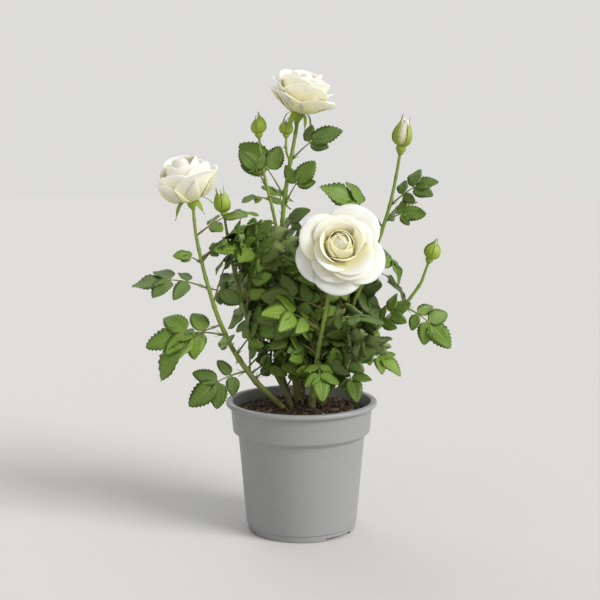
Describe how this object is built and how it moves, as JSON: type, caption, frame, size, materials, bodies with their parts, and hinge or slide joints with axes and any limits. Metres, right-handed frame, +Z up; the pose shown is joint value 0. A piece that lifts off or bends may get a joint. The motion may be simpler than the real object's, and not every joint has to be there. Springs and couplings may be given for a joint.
{
  "type": "potted rose bush",
  "caption": "White patio rose in a grey plastic pot: thin green canes with compound leaves, open cream-white blooms, pointed buds and dark soil.",
  "frame": {"origin": "centre of the flat pad under the pot, on the surface that the pot stands on", "axes": "+Z up along the pot's axis, -Y towards the front, where the large low bloom faces, +X to the right"},
  "size_m": [0.2476, 0.1404, 0.3645],
  "materials": {
    "pot_plastic": "satin moulded plastic, light grey",
    "soil": "moist peat compost with bark chips",
    "cane": "smooth green bark, browner at the foot, with thorns",
    "leaf": "semi-gloss dark green leaf",
    "petal": "soft matt creamy white petal, warm yellow in the heart",
    "bud": "matt yellow-green sepals"
  },
  "bodies": {
    "root": {"pot": "pot_plastic", "soil": "soil", "cane_left_bloom": "cane", "cane_left_bud": "cane", "cane_top_bloom": "cane", "cane_front_bloom": "cane", "cane_right_opening": "cane", "cane_right_low": "cane", "cane_back_left": "cane", "cane_back_middle": "cane", "cane_back_right": "cane", "cane_top_bud": "cane", "cane_second_bud": "cane", "bloom_top": "petal", "bloom_left": "petal", "bloom_front": "petal", "bud_top_left": "bud", "bud_top_middle": "bud", "bud_right_opening": "bud", "bud_left": "bud", "bud_right_low": "bud", "leaf_left_high_out": "leaf", "leaf_left_high_in": "leaf", "leaf_left_upper": "leaf", "leaf_left_lower": "leaf", "leaf_left_hanging": "leaf", "leaf_left_bottom": "leaf", "leaf_left_inner": "leaf", "leaf_left_low_inner": "leaf", "leaf_bud_side_left": "leaf", "leaf_bud_side_right": "leaf", "leaf_top_left_up": "leaf", "leaf_top_left_down": "leaf", "leaf_top_left_low": "leaf", "leaf_top_right": "leaf", "leaf_top_middle": "leaf", "leaf_top_back": "leaf", "leaf_middle_right_top": "leaf", "leaf_middle_left_high": "leaf", "leaf_middle_left_low": "leaf", "leaf_middle_up": "leaf", "leaf_right_top": "leaf", "leaf_right_middle": "leaf", "leaf_right_hanging": "leaf", "leaf_right_back": "leaf", "leaf_right_arm": "leaf", "leaf_right_up": "leaf", "leaf_right_low": "leaf", "leaf_front_low_left": "leaf", "leaf_front_low_right": "leaf", "leaf_front_middle": "leaf", "leaf_front_right": "leaf", "foliage_upper_left": "leaf", "foliage_middle_left": "leaf", "foliage_middle_right": "leaf", "foliage_middle_high": "leaf", "foliage_low": "leaf", "foliage_back_left": "leaf", "foliage_back_middle": "leaf", "foliage_back_right": "leaf"}
  },
  "joints": []
}
